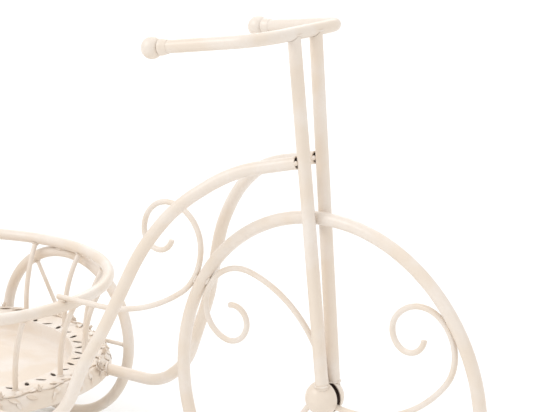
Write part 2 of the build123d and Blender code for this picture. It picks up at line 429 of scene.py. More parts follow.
def join(parts: list[Piece], name: str) -> Piece:
    """Join pieces into one and name it."""
    deselect()
    for part in parts:
        part.select_set(True)
    bpy.context.view_layer.objects.active = parts[0]
    if len(parts) > 1:
        bpy.ops.object.join()
    parts[0].name = name
    parts[0].data.name = name
    return parts[0]


def primitive(kind: str, name: str, **settings: object) -> Piece:
    """Add a primitive mesh of a kind, named and held."""
    deselect()
    getattr(bpy.ops.mesh, f"primitive_{kind}_add")(**settings)
    piece = bpy.context.active_object
    piece.name = name
    return piece


def pose(centre: Vector, out: Vector, spin: float = 0.0, size: Place = (1.0, 1.0, 1.0)) -> Matrix:
    """Give the matrix that puts a master's Z axis along a direction, after a spin in degrees."""
    turn = out.to_track_quat("Z", "Y").to_matrix().to_4x4()
    scale = Matrix.Diagonal((*size, 1.0))
    return Matrix.Translation(centre) @ turn @ Matrix.Rotation(radians(spin), 4, "Z") @ scale


def along_and_out(centre: Vector, along: Vector, out: Vector, size: Place = (1.0, 1.0, 1.0)) -> Matrix:
    """Give the matrix that lays a master's X axis along one direction and its Z axis near another."""
    x_axis = along.normalized()
    y_axis = out.cross(x_axis).normalized()
    z_axis = x_axis.cross(y_axis)
    turn = Matrix((x_axis, y_axis, z_axis)).transposed().to_4x4()
    return Matrix.Translation(centre) @ turn @ Matrix.Diagonal((*size, 1.0))


@dataclass(frozen=True)
class RoundEnd:
    """A flat round end of a rod or tube, read from its CAD node."""

    centre: Vector
    out: Vector
    radius: float


@lru_cache(maxsize=None)
def round_ends(node: str, fewest: int = 8, widest: float = 12 * MM) -> list[RoundEnd]:
    """Find the flat ends of a node's solid, in order along X.

    Args:
        node: The node's name.
        fewest: How many triangles in one plane make an end.
        widest: The largest radius that an end can have.
    """
    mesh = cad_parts[node].data
    planes = defaultdict(list)
    for face in mesh.polygons:
        flat = face.normal.dot(face.center) / MM
        key = (*(round(part, 2) for part in face.normal), round(flat, 1))
        planes[key].append(face)
    ends = []
    for faces in planes.values():
        if len(faces) < fewest:
            continue
        points = [mesh.vertices[index].co for face in faces for index in face.vertices]
        low = Vector([min(point[axis] for point in points) for axis in range(3)])
        high = Vector([max(point[axis] for point in points) for axis in range(3)])
        centre = (low + high) / 2
        radius = max((point - centre).length for point in points)
        if radius < widest:
            ends.append(RoundEnd(centre, faces[0].normal.copy(), radius))
    return sorted(ends, key=lambda end: end.centre.x)


def top_end(node: str) -> RoundEnd:
    """Give the highest flat end of a node's solid."""
    return max(round_ends(node), key=lambda end: end.centre.z)


def touching(rod: str, carrier: str) -> tuple[Vector, Vector]:
    """Give the place where a rod's vertices come nearest to its carrier, and the direction across."""
    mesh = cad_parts[carrier].data
    faces = [tuple(face.vertices) for face in mesh.polygons]
    tree = BVHTree.FromPolygons([vertex.co for vertex in mesh.vertices], faces)
    best = None
    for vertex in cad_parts[rod].data.vertices:
        found, _, _, gap = tree.find_nearest(vertex.co)
        if best is None or gap < best[0]:
            best = (gap, vertex.co.copy(), found)
    _, start, end = best
    return (start + end) / 2, (end - start).normalized()


@dataclass
class Sizes:
    """The stand's places and radii, in metres, read from the frame."""

    hub: Vector = field(init=False)
    rim_r: float = field(init=False)
    tube_r: float = field(init=False)
    rod_r: float = field(init=False)
    ring: Vector = field(init=False)
    ring_r: float = field(init=False)
    tray_r: float = field(init=False)
    tray_top: float = field(init=False)
    tray_bottom: float = field(init=False)
    sides: tuple[str, ...] = ("left", "right")
    rods: tuple[str, ...] = ("upper", "front", "lower")

    def __post_init__(self) -> None:
        """Read each size from the boxes of the CAD nodes."""
        low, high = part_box("front_rim")
        self.hub = (low + high) / 2
        self.tube_r = (high.y - low.y) / 2
        self.rim_r = (high.x - low.x) / 2 - self.tube_r
        low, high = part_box("pot_ring")
        self.ring = (low + high) / 2
        self.ring_r = (high.x - low.x) / 2 - self.tube_r
        low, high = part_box("plant_tray")
        self.tray_r = (high.x - low.x) / 2
        self.tray_top, self.tray_bottom = high.z, low.z
        self.rod_r = round_ends("rear_scroll")[0].radius

    def on_tray(self, radius: float, angle: float, height: float) -> Vector:
        """Give a point by its distance and angle about the tray's middle and its height."""
        return Vector((self.ring.x, 0.0, height)) + radius * heading(angle)


class Workshop:
    """Holds the finishes and passes each finished piece to the frame."""

    def __init__(self, coats: dict[Finish, PowderCoat | StudioFloor]) -> None:
        """Make every finish once."""
        self.materials = {finish: coat.make() for finish, coat in coats.items()}

    def dress(self, finish: Finish, *nodes: str) -> None:
        """Give CAD nodes a finish on their material slots."""
        for node in nodes:
            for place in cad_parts[node].material_slots:
                place.material = self.materials[finish]
            log.info("node %s: %s", node, finish.value)

    def deliver(self, piece: Piece, finish: Finish, *stands_for: str) -> None:
        """Dress a new piece and set it on the stand's body, in place of CAD nodes if any are named."""
        piece.data.materials.clear()
        piece.data.materials.append(self.materials[finish])
        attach(piece, BODY)
        if stands_for:
            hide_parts(*stands_for)
        log.info("piece %s: %d faces, %s", piece.name, len(piece.data.polygons), finish.value)

    def deliver_welds(self, parts: list[Piece], name: str) -> None:
        """Join weld beads into one piece and deliver it."""
        piece = join(parts, name)
        smooth(piece, 70.0)
        self.deliver(piece, Finish.WELD)


@dataclass
class WeldMaker:
    """Makes weld beads: rippled collars round a rod's end and lumps in a crevice."""

    ripple: float = 0.10
    pitch: int = 2
    bite: float = 0.25
    sink: float = 0.35
    seam_bead: float = 0.55 * MM

    def collar(self, radius: float, bead: float, sections: int, name: str) -> Piece:
        """Make a rippled ring of a bead's radius that hugs a rod of a given radius on the Z axis."""
        ring = primitive(
            "torus",
            name,
            major_radius=radius + self.bite * bead,
            minor_radius=bead,
            major_segments=sections,
            minor_segments=8,
        )
        step = tau / sections
        with shaping(ring):
            pick(ring, lambda co: round(Vector((1, 0)).angle_signed(co.xy) / step) % self.pitch == 0)
            bpy.ops.transform.shrink_fatten(value=-self.ripple * bead)
            pick(ring, lambda co: co.z < -0.3 * bead)
            stretch(1.06, 1.06, 0.7)
        return ring

    def seat(self, end: RoundEnd, bead: float) -> Matrix:
        """Give the matrix that sinks a collar a little into what a rod's end meets."""
        return pose(end.centre - end.out * self.sink * bead, -end.out)

    def seam(self, tube_r: float, place: Vector, way: Vector, name: str) -> Piece:
        """Make the ground-down butt weld that closes a ring of tube, round the tube at a place."""
        master = self.collar(tube_r - self.sink * MM, self.seam_bead, 36, name)
        band = copy_to(master, pose(place, way))
        drop(master)
        return band

    def lump(self, name: str) -> Piece:
        """Make a rippled bead of unit half sizes at the origin, lengthwise on X."""
        bead = primitive("uv_sphere", name, segments=14, ring_count=14, radius=1.0)
        with shaping(bead):
            pick_all()
            bpy.ops.transform.rotate(value=pi / 2, orient_axis="Y", center_override=(0, 0, 0))
            pick(bead, lambda co: round((co.x + 1.0) * 7.0) % 2 == 0 and abs(co.x) < 0.95)
            stretch(1.0, 0.90, 0.90, ORIGIN)
            pick(bead, lambda co: co.x > 0.3)
            stretch(1.0, 0.86, 0.86, ORIGIN)
        subdivide(bead)
        return bead


@dataclass
class TouchWeld:
    """A pair of beads where one rod or tube lies against another."""

    rod: str
    carrier: str
    along: Vector | None = None
    length: float = 5.0 * MM
    width: float = 1.9 * MM
    height: float = 1.3 * MM
    offset: float = 2.1 * MM

    def lay(self, master: Piece, hub: Vector) -> list[Piece]:
        """Copy the master bead into the two crevices beside the place of contact.

        A bead without a direction of its own follows the wheel round its hub.
        """
        place, towards = touching(self.rod, self.carrier)
        along = self.along if self.along else (place - hub).cross(SIDEWAYS).normalized()
        across = along.cross(towards).normalized()
        size = (self.length, self.width, self.height)
        spots = (place + across * self.offset, place - across * self.offset)
        return [copy_to(master, along_and_out(spot, along, towards, size)) for spot in spots]


@dataclass
class Section:
    """A part of the stand and what it takes to make it."""

    sizes: Sizes
    shop: Workshop
    welds: WeldMaker


@dataclass
class FrontWheel(Section):
    """Front rim, its three scrolls and the hub's two half balls."""

    tip_height: float = 1.1 * MM
    tip_sink: float = 0.3 * MM
    tip_steps: tuple[tuple[float, float], ...] = ((0.6, 0.97), (0.45, 0.84), (0.25, 0.62), (0.1, 0.5))
    seam_angle: float = 232.0

    def rod_tip(self, name: str) -> Piece:
        """Model the rounded end that the coat gives a cut rod, about the Z axis."""
        tip = primitive("circle", name, vertices=24, radius=self.sizes.rod_r, fill_type="NGON")
        with shaping(tip):
            pick_all()
            slide(0, 0, -self.tip_sink)
            for rise, shrink in self.tip_steps:
                bpy.ops.mesh.extrude_region_move(
                    TRANSFORM_OT_translate={"value": (0, 0, rise * self.tip_height)}
                )
                stretch(shrink, shrink, 1.0)
        smooth(tip, 60.0)
        return tip

    def tips(self) -> None:
        """Round off the free end of each front scroll and of the rear scroll."""
        master = self.rod_tip("tip_master")
        ends = []
        for rod in self.sizes.rods:
            found = round_ends(f"front_scroll_{rod}")
            ends.append(max(found, key=lambda end: (end.centre - self.sizes.hub).length))
        ends.append(top_end("rear_scroll"))
        parts = [copy_to(master, pose(end.centre, end.out)) for end in ends]
        drop(master)
        self.shop.deliver(join(parts, "scroll_tips"), Finish.ROD)

    def beads(self) -> None:
        """Weld each scroll to the rim, and close the rim's own joint."""
        lump = self.welds.lump("lump_master")
        parts = []
        for rod in self.sizes.rods:
            parts += TouchWeld(f"front_scroll_{rod}", "front_rim").lay(lump, self.sizes.hub)
        parts += TouchWeld("rear_scroll", "front_rim").lay(lump, self.sizes.hub)
        drop(lump)
        turn = radians(self.seam_angle)
        out = Vector((cos(turn), 0.0, sin(turn)))
        place = self.sizes.hub + out * self.sizes.rim_r
        parts.append(self.welds.seam(self.sizes.tube_r, place, out.cross(SIDEWAYS), "rim_seam"))
        self.shop.deliver_welds(parts, "weld_beads_front_wheel")

    def build(self) -> None:
        """Dress the nodes and add the tips and beads."""
        self.shop.dress(Finish.TUBE, "front_rim")
        self.shop.dress(Finish.ROD, *(f"front_scroll_{rod}" for rod in self.sizes.rods))
        self.shop.dress(Finish.HUB_LEFT, "hub_shell_left")
        self.shop.dress(Finish.HUB_RIGHT, "hub_shell_right")
        self.tips()
        self.beads()


@dataclass
class Fork(Section):
    """Fork legs, handlebar and its two balls."""

    bead: float = 0.9 * MM
    rim_lump: tuple[float, ...] = (4.0 * MM, 2.0 * MM, 1.6 * MM, 3.1 * MM)
    ball_r: float = 10.0 * MM
    neck_length: float = 9.0 * MM

    def leg_axis(self, side: str) -> tuple[Vector, Vector]:
        """Give the foot of a leg's axis and the direction up it, from the leg's box."""
        low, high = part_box(f"fork_leg_{side}")
        tube_r = self.sizes.tube_r
        inner, outer = sorted((abs(low.y), abs(high.y)))
        sign = 1.0 if high.y > -low.y else -1.0
        foot = Vector((high.x - tube_r, sign * (inner + tube_r), low.z))
        top = Vector((low.x + tube_r, sign * (outer - tube_r), high.z))
        return foot, (top - foot).normalized()

    def collars(self) -> list[Piece]:
        """Weld each leg to the hub below it and to the handlebar above it."""
        master = self.welds.collar(self.sizes.tube_r, self.bead, 40, "leg_collar")
        parts = []
        for side in self.sizes.sides:
            foot, way = self.leg_axis(side)
            low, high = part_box(f"fork_leg_{side}")
            _, hub_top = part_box(f"hub_shell_{side}")
            hub_rise = hub_top.z - low.z - 2.6 * self.bead
            parts.append(copy_to(master, pose(foot + way * hub_rise, way)))
            top_rise = (high.z - low.z) / way.z
            parts.append(copy_to(master, pose(foot + way * (top_rise - 0.2 * self.bead), -way)))
        drop(master)
        return parts

    def rim_beads(self) -> list[Piece]:
        """Weld each leg to the rim that passes between them."""
        lump = self.welds.lump("leg_lump_master")
        parts = []
        for side in self.sizes.sides:
            weld = TouchWeld("front_rim", f"fork_leg_{side}", UP, *self.rim_lump)
            parts += weld.lay(lump, self.sizes.hub)
        drop(lump)
        return parts

    def necks(self) -> None:
        """Model the tapered neck between each grip ball and the handlebar."""
        tube_r = self.sizes.tube_r
        sleeve_r = tube_r + 0.06 * MM
        rise = 0.84 * self.ball_r
        profile = (
            (tube_r + 1.2 * MM, rise),
            (tube_r + 1.8 * MM, rise + 0.10 * self.neck_length),
            (tube_r + 1.5 * MM, rise + 0.35 * self.neck_length),
            (tube_r + 0.8 * MM, rise + 0.65 * self.neck_length),
            (tube_r + 0.3 * MM, rise + 0.90 * self.neck_length),
            (sleeve_r, rise + self.neck_length),
            (sleeve_r, rise),
        )
        master = primitive("circle", "neck_master", vertices=48, radius=sleeve_r)
        with shaping(master):
            pick_all()
            slide(0, 0, rise)
            turn_profile((sleeve_r, rise), profile)
        settle(master, 0.01 * MM)
        subdivide(master)
        parts = []
        for end in round_ends("handlebar"):
            parts.append(copy_to(master, pose(end.centre, -end.out)))
        drop(master)
        piece = join(parts, "grip_ball_necks")
        smooth(piece, 50.0)
        self.shop.deliver(piece, Finish.TUBE)

    def build(self) -> None:
        """Dress the nodes and add the necks and beads."""
        self.necks()
        for side in self.sizes.sides:
            self.shop.dress(Finish.TUBE, f"fork_leg_{side}", f"grip_ball_{side}")
        self.shop.dress(Finish.TUBE, "handlebar")
        self.shop.deliver_welds(self.collars() + self.rim_beads(), "weld_beads_fork")


@dataclass
class Basket(Section):
    """Pot ring, its bars, the frame tubes and the rear scroll."""

    bar_count: int = 16
    bead: float = 0.85 * MM
    foot_bead: float = 1.5 * MM
    end_lump: Place = (2.3 * MM, 1.5 * MM, 2.3 * MM)
    end_lump_rise: float = 1.3 * MM
    end_lump_aside: float = 0.80
    seam_angle: float = 150.0

    def bars(self) -> list[str]:
        """Give the names of the basket's bars."""
        return [f"basket_bar_{number + 1:02d}" for number in range(self.bar_count)]

    def bar_collars(self) -> None:
        """Weld each bar to the ring above it and the tray below it."""
        master = self.welds.collar(self.sizes.rod_r, self.bead, 24, "bar_collar")
        parts = []
        for bar in self.bars():
            parts += [copy_to(master, self.welds.seat(end, self.bead)) for end in round_ends(bar)]
        drop(master)
        self.shop.deliver_welds(parts, "weld_beads_basket")

    def foot_collar(self, side: str) -> Piece:
        """Weld a frame tube's foot to the tray's side with a bead all round it."""
        low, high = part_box(f"frame_tube_{side}")
        across = high.y - self.sizes.tube_r if high.y > -low.y else low.y + self.sizes.tube_r
        tray_r = self.sizes.tray_r
        along = (tray_r**2 - across**2) ** 0.5
        out = Vector((along, across, 0.0)).normalized()
        height = (self.sizes.tray_top + self.sizes.tray_bottom) / 2
        place = Vector((self.sizes.ring.x, 0.0, height)) + out * (tray_r - 0.2 * MM)
        master = self.welds.collar(self.sizes.tube_r, self.foot_bead, 40, "foot_collar_master")
        bead = copy_to(master, pose(place, -out, 0.0, (tray_r / along, 1.0, 1.0)))
        drop(master)
        return bead

    def frame_beads(self) -> None:
        """Weld the frame tubes, the rear scroll and the ring's own joint."""
        lump = self.welds.lump("frame_lump_master")
        parts = TouchWeld("pot_ring", "rear_scroll", FORWARD).lay(lump, self.sizes.hub)
        for side in self.sizes.sides:
            end = top_end(f"frame_tube_{side}")
            aside = end.out.cross(UP).normalized()
            for way in (aside, -aside):
                aside_by = way * self.end_lump_aside * self.sizes.tube_r
                spot = end.centre + aside_by + end.out * self.end_lump_rise
                parts.append(copy_to(lump, along_and_out(spot, UP, end.out, self.end_lump)))
            parts.append(self.foot_collar(side))
        drop(lump)
        out = heading(self.seam_angle)
        place = self.sizes.ring + out * self.sizes.ring_r
        parts.append(self.welds.seam(self.sizes.tube_r, place, out.cross(UP), "ring_seam"))
        self.shop.deliver_welds(parts, "weld_beads_frame")

    def build(self) -> None:
        """Dress the nodes and add the beads."""
        self.shop.dress(Finish.TUBE, "pot_ring")
        self.shop.dress(Finish.ROD, "rear_scroll", *self.bars())
        self.shop.dress(Finish.FRAME_LEFT, "frame_tube_left")
        self.shop.dress(Finish.FRAME_RIGHT, "frame_tube_right")
        self.bar_collars()
        self.frame_beads()


@dataclass
class RearWheels(Section):
    """The two rear rims with their bosses and spokes."""

    spokes: int = 3
    bead: float = 0.8 * MM
    ring_lump: tuple[float, ...] = (6.5 * MM, 2.0 * MM, 1.6 * MM, 3.0 * MM)
    face_steps: tuple[tuple[float, float], ...] = ((0.45, -0.12), (0.25, 0.08))

    def spokes_of(self, side: str) -> list[str]:
        """Give the names of a rear wheel's spokes."""
        return [f"rear_spoke_{side}_{number + 1}" for number in range(self.spokes)]

    def boss(self, side: str) -> None:
        """Model a wheel's boss: a turned disc with rounded edges and a shallow centre mark."""
        low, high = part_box(f"rear_boss_{side}")
        radius = (high.x - low.x) / 2
        deep = high.y - low.y
        disc = primitive("cylinder", f"rear_boss_{side}_turned", vertices=40, radius=radius, depth=deep)
        half = deep / 2
        with shaping(disc):
            bpy.ops.mesh.select_mode(type="FACE")
            pick(disc, lambda co: co.z > 0.9 * half)
            for inset, rise in self.face_steps:
                bpy.ops.mesh.inset(thickness=inset * radius)
                slide(0, 0, rise * deep)
        modify(disc, "BEVEL", width=0.1 * deep, segments=3, limit_method="ANGLE")
        middle = (low + high) / 2
        out = SIDEWAYS if middle.y > 0 else -SIDEWAYS
        disc.data.transform(pose(middle, out))
        smooth(disc, 35.0)
        self.shop.deliver(disc, Finish.ROD, f"rear_boss_{side}")

    def beads(self) -> None:
        """Weld each spoke at both ends, and each rim to the pot ring."""
        spoke_r = round_ends(self.spokes_of(self.sizes.sides[0])[0])[0].radius
        collar = self.welds.collar(spoke_r, self.bead, 24, "spoke_collar")
        parts = []
        for side in self.sizes.sides:
            for spoke in self.spokes_of(side):
                parts += [copy_to(collar, self.welds.seat(end, self.bead)) for end in round_ends(spoke)]
        drop(collar)
        lump = self.welds.lump("rear_lump_master")
        for side in self.sizes.sides:
            weld = TouchWeld(f"rear_rim_{side}", "pot_ring", FORWARD, *self.ring_lump)
            parts += weld.lay(lump, self.sizes.hub)
        drop(lump)
        self.shop.deliver_welds(parts, "weld_beads_rear_wheels")

    def build(self) -> None:
        """Dress the nodes and add the bosses and beads."""
        for side in self.sizes.sides:
            self.shop.dress(Finish.TUBE, f"rear_rim_{side}")
            self.shop.dress(Finish.ROD, *self.spokes_of(side))
            self.boss(side)
        self.beads()


@dataclass
class Tray(Section):
    """The tray: a recessed floor and a wide rim pierced by leaf-shaped slots."""

    slots: int = 48
    slot_length: float = 13.0 * MM
    slot_width: float = 4.6 * MM
    slot_tilt: float = 35.0
    wall: float = 1.6 * MM
    rim_width: float = 42.0 * MM
    shoulder: float = 6.0 * MM
    lip: float = 1.0 * MM
    floor_rib_r: float = 96.0 * MM

    def slot_sector(self, tilt: float, inner: float, outer: float) -> Piece:
        """Model one sector of the rim, with a slot turned by a tilt from pointing at the middle."""
        middle = (inner + outer) / 2
        half_turn = pi / self.slots
        sheet = primitive("grid", "sector_master", x_subdivisions=4, y_subdivisions=4, size=1.0)
        with shaping(sheet):
            bpy.ops.mesh.select_mode(type="FACE")
            shape = bmesh.from_edit_mesh(sheet.data)
            for face in shape.faces:
                face.select_set(face.calc_center_median().length < 0.25)
            bmesh.update_edit_mesh(sheet.data)
            bpy.ops.mesh.delete(type="FACE")
        for vertex in sheet.data.vertices:
            side = vertex.co.y * 2 * half_turn
            along = middle + vertex.co.x * (outer - inner)
            if max(abs(vertex.co.x), abs(vertex.co.y)) < 0.3:
                self.shape_slot(vertex, tilt, middle)
            else:
                vertex.co = Vector((along * cos(side), along * sin(side), 0.0))
        return sheet

    def shape_slot(self, vertex: bpy.types.MeshVertex, tilt: float, middle: float) -> None:
        """Move a vertex of the sector's hole onto the leaf-shaped slot."""
        corner = Vector((vertex.co.x, vertex.co.y, 0.0)) * 4
        spot = Vector((corner.x * self.slot_length / 2, corner.y * self.slot_width / 2, 0.0))
        if abs(corner.x) > 0.5 and abs(corner.y) > 0.5:
            spot.x *= 0.62
            spot.y *= 0.80
        spot.rotate(Matrix.Rotation(radians(tilt), 3, "Z"))
        vertex.co = Vector((middle, 0.0, 0.0)) + spot

    def rim(self, inner: float, outer: float) -> Piece:
        """Join the sectors to the pierced flat of the tray's rim."""
        masters = [self.slot_sector(tilt, inner, outer) for tilt in (self.slot_tilt, -self.slot_tilt)]
        parts = []
        for number in range(self.slots):
            turn = Matrix.Rotation(tau / self.slots * number, 4, "Z")
            parts.append(copy_to(masters[number % 2], turn))
        drop(*masters)
        piece = join(parts, "plant_tray_openwork")
        settle(piece, 0.05 * MM)
        return piece

    def build(self) -> None:
        """Shape the walls and floor from the pierced rim by extruding its open edges."""
        tray_r = self.sizes.tray_r
        recess_r = tray_r - self.rim_width
        outer = recess_r + 14.5 * MM
        piece = self.rim(recess_r + 2.0 * MM, outer)
        deep = self.sizes.tray_top - self.sizes.tray_bottom - self.wall
        shoulder_r = tray_r - self.shoulder
        outward = (
            (shoulder_r - 5.0 * MM, 0.0),
            (shoulder_r, -0.8 * MM),
            (shoulder_r + 0.5 * self.shoulder, -4.0 * MM),
            (tray_r - 0.9 * MM, -9.0 * MM),
            (tray_r - 0.4 * MM, -0.85 * deep),
            (tray_r - 0.2 * MM, -0.97 * deep),
            (tray_r - 1.2 * MM, -deep),
            (tray_r - 8.0 * MM, -deep),
            (recess_r + 2.2 * MM, -deep),
        )
        inward = (
            (recess_r + 1.0 * MM, 0.6 * self.lip),
            (recess_r, 0.0),
            (recess_r - 0.6 * MM, -0.5 * deep),
            (recess_r - 1.2 * MM, -0.9 * deep),
            (recess_r - 4.0 * MM, -deep),
            (self.floor_rib_r + 4.0 * MM, -deep),
            (self.floor_rib_r, 1.2 * MM - deep),
            (self.floor_rib_r - 4.0 * MM, -deep),
            (0.5 * self.floor_rib_r, -deep),
            (0.2 * self.floor_rib_r, -deep),
        )
        with shaping(piece):
            for start, steps in ((outer, outward), (recess_r + 2.0 * MM, inward)):
                bpy.ops.mesh.select_mode(type="EDGE")
                bpy.ops.mesh.select_all(action="DESELECT")
                pick_open_edge(piece, start, 0.4 * MM)
                turn_profile((start, 0.0), steps)
            bpy.ops.mesh.edge_face_add()
        settle(piece, 0.02 * MM)
        modify(piece, "SOLIDIFY", thickness=self.wall, offset=-1.0, use_even_offset=True)
        subdivide(piece)
        piece.data.transform(Matrix.Translation((self.sizes.ring.x, 0.0, self.sizes.tray_top)))
        smooth(piece, 50.0)
        self.shop.deliver(piece, Finish.TRAY, "plant_tray")


class PetalRing(NamedTuple):
    """One ring of a rose's petals: sizes are shares of its radius and angles are in degrees."""

    count: int
    foot: float
    lean: float
    size: float
    start: float


class LeafRow(NamedTuple):
    """One row of leaves: its place on the rim, its lean, and each leaf's angle, sweep and size."""

    inset: float
    rise: float
    lean: float
    steps: tuple[float, ...]
    sweep: float
    size: float


class BudSpot(NamedTuple):
    """Where a bud stands beside a rose, in degrees, how far it leans and its size."""

    step: float
    lean: float
    size: float


@dataclass
class Garland(Section):
    """Roses, leaves, buds and a vine on the tray's rim."""

    petal_rings: tuple[PetalRing, ...] = (
        PetalRing(5, 0.10, 60.0, 1.00, 0.0),
        PetalRing(4, 0.06, 34.0, 0.80, 36.0),
        PetalRing(3, 0.03, 12.0, 0.64, 10.0),
    )
    leaf_rows: tuple[LeafRow, ...] = (
        LeafRow(12.5 * MM, 0.9 * MM, 0.10, (-22.0, -16.0, -10.5, 10.5, 22.0, 27.5), 58.0, 1.0),
        LeafRow(
            3.4 * MM, -3.2 * MM, 0.80, (-25.0, -18.5, -12.5, -6.5, 6.5, 12.5, 18.5, 25.0), 66.0, 0.86
        ),
        LeafRow(
            1.0 * MM, -9.0 * MM, 1.35, (-27.0, -20.0, -13.5, -7.0, 0.0, 7.0, 13.5, 20.0), 40.0, 0.70
        ),
    )
    bud_spots: tuple[BudSpot, ...] = (
        BudSpot(14.5, 0.35, 1.0),
        BudSpot(-15.0, 0.65, 0.8),
        BudSpot(29.0, 0.15, 0.9),
    )
    full_size: float = 0.95
    bud_turn: float = 40.0
    rose_turn: float = 17.0
    sectors: int = 6
    first_angle: float = 22.0
    rose_d: float = 14.5 * MM
    rose_tilt: float = 48.0
    leaf_length: float = 15.0 * MM
    leaf_width: float = 6.6 * MM
    leaf_thick: float = 0.9 * MM
    bud_length: float = 10.0 * MM
    bud_d: float = 4.6 * MM

    def petal(self) -> Piece:
        """Model one cupped petal: its foot at the origin, standing up on Z, open towards -Y."""
        petal = primitive("circle", "petal_master", vertices=12, radius=0.5, fill_type="NGON")
        with shaping(petal):
            pick(petal, lambda co: co.y < -0.3)
            stretch(0.55, 1.0, 1.0)
            pick(petal, lambda co: co.y > 0.3)
            slide(0, 0, -0.10)
            bpy.ops.mesh.select_mode(type="FACE")
            pick_all()
            bpy.ops.mesh.inset(thickness=0.13)
            slide(0, 0, -0.10)
            bpy.ops.mesh.inset(thickness=0.14)
            slide(0, 0, -0.07)
            bpy.ops.mesh.poke()
            pick_all()
            slide(0, 0.5, 0)
            bpy.ops.transform.rotate(value=-pi / 2, orient_axis="X", center_override=(0, 0, 0))
        shape = petal.data
        if max(vertex.co.z for vertex in shape.vertices) < 0.5:
            shape.transform(Matrix.Rotation(pi, 4, "X"))
        settle(petal, 0.001)
        modify(petal, "SOLIDIFY", thickness=0.07, offset=0.0)
        subdivide(petal)
        return petal

    def rose(self) -> Piece:
        """Model a rose of three rings of petals round a rolled bud, facing up the Z axis."""
        petal = self.petal()
        radius = self.rose_d / 2
        parts = []
        for ring in self.petal_rings:
            for number in range(ring.count):
                turn = Matrix.Rotation(tau / ring.count * number + radians(ring.start), 4, "Z")
                shift = Matrix.Translation((0.0, ring.foot * radius, 0.1 * radius))
                tilt = Matrix.Rotation(-radians(ring.lean), 4, "X")
                scale = Matrix.Scale(ring.size * radius, 4)
                parts.append(copy_to(petal, turn @ shift @ tilt @ scale))
        drop(petal)
        core = primitive("uv_sphere", "rose_core", segments=12, ring_count=8, radius=0.3 * radius)
        with shaping(core):
            pick(core, lambda co: co.z > 0)
            stretch(0.7, 0.7, 1.5, ORIGIN)
            pick_all()
            slide(0, 0, 0.32 * radius)
        parts.append(core)
        calyx = primitive(
            "cylinder", "rose_calyx", vertices=16, radius=0.5 * radius, depth=0.35 * radius
        )
        with shaping(calyx):
            pick(calyx, lambda co: co.z < 0)
            stretch(0.6, 0.6, 1.0, ORIGIN)
        modify(calyx, "BEVEL", width=0.08 * radius, segments=2)
        parts.append(calyx)
        rose = join(parts, "rose_master")
        smooth(rose, 60.0)
        return rose

    def leaf(self) -> Piece:
        """Model one leaf with a sunk midrib and a drooping point, lengthwise on X from its stalk."""
        leaf = primitive("grid", "leaf_master", x_subdivisions=8, y_subdivisions=4, size=1.0)
        columns = sorted({round(vertex.co.x, 4) for vertex in leaf.data.vertices})
        with shaping(leaf):
            for column in columns:
                along = column + 0.5
                width = 0.06 + 1.25 * (sin(pi * along**0.8) ** 0.9 if 0 < along < 1 else 0.0)
                pick(leaf, lambda co, column=column: abs(co.x - column) < 0.01)
                stretch(1.0, width, 1.0, (column, 0, 0))
                slide(0, 0, 0.16 * sin(pi * along) - 0.12 * along)
            pick(leaf, lambda co: abs(co.y) < 0.01)
            slide(0, 0, -0.07)
            pick_all()
            slide(0.5, 0, 0)
            stretch(self.leaf_length, 0.8 * self.leaf_width, 0.8 * self.leaf_width, ORIGIN)
        modify(leaf, "SOLIDIFY", thickness=self.leaf_thick, offset=0.0)
        subdivide(leaf)
        smooth(leaf, 60.0)
        return leaf

    def bud(self, leaf: Piece) -> Piece:
        """Model a pointed bud in three sepals, standing up on Z."""
        bud = primitive("uv_sphere", "bud_master", segments=14, ring_count=10, radius=self.bud_d / 2)
        slimness = self.bud_length / self.bud_d
        with shaping(bud):
            pick_all()
            stretch(1.0, 1.0, 0.6 * slimness, ORIGIN)
            pick(bud, lambda co: co.z > 0.15 * self.bud_length)
            stretch(0.6, 0.6, 1.0, ORIGIN)
            pick(bud, lambda co: co.z > 0.24 * self.bud_length)
            stretch(0.5, 0.5, 1.0, ORIGIN)
            slide(0, 0, 0.14 * self.bud_length)
            pick_all()
            slide(0, 0, 0.3 * self.bud_length)
        parts = [bud]
        for number in range(3):
            turn = Matrix.Rotation(tau / 3 * number, 4, "Z")
            shift = Matrix.Translation((0.34 * self.bud_d, 0.0, 0.3 * MM))
            tilt = Matrix.Rotation(-radians(78.0), 4, "Y")
            parts.append(copy_to(leaf, turn @ shift @ tilt @ Matrix.Scale(0.5, 4)))
        bud = join(parts, "bud_master")
        smooth(bud, 60.0)
        return bud

    def roses(self, rose: Piece) -> None:
        """Set a rose on the rim's shoulder in each sector, facing up and outwards."""
        parts = []
        for number in range(self.sectors):
            angle, tilt = self.rose_angle(number), radians(self.rose_tilt)
            out = heading(angle) * sin(tilt) + UP * cos(tilt)
            place = self.sizes.on_tray(
                self.sizes.tray_r - 3.2 * MM, angle, self.sizes.tray_top - 1.6 * MM
            )
            parts.append(copy_to(rose, pose(place, out, self.rose_turn * number)))
        self.shop.deliver(join(parts, "garland_roses"), Finish.GARLAND, "tray_roses")

    def rose_angle(self, number: int) -> float:
        """Give the angle at which a rose sits, in degrees."""
        return self.first_angle + 360 / self.sectors * number

    def lay_leaf(self, row: LeafRow, middle: float, step: float) -> Matrix:
        """Give the matrix that lays a leaf of a row beside the rose at an angle.

        Leaves of full size lie on the top of the rim and point inwards, and the others hang outwards.
        """
        flat = heading(middle + step)
        out = flat * sin(row.lean) + UP * cos(row.lean)
        down = flat * cos(row.lean) - UP * sin(row.lean)
        aside = UP.cross(flat) if step > 0 else -UP.cross(flat)
        inwards = 1.0 if row.size < self.full_size else -1.0
        sweep = radians(row.sweep)
        along = aside * sin(sweep) + down * cos(sweep) * inwards
        place = self.sizes.on_tray(
            self.sizes.tray_r - row.inset, middle + step, self.sizes.tray_top + row.rise
        )
        stalk = place - along * 0.5 * row.size * self.leaf_length
        return along_and_out(stalk, along, out, (row.size,) * 3)

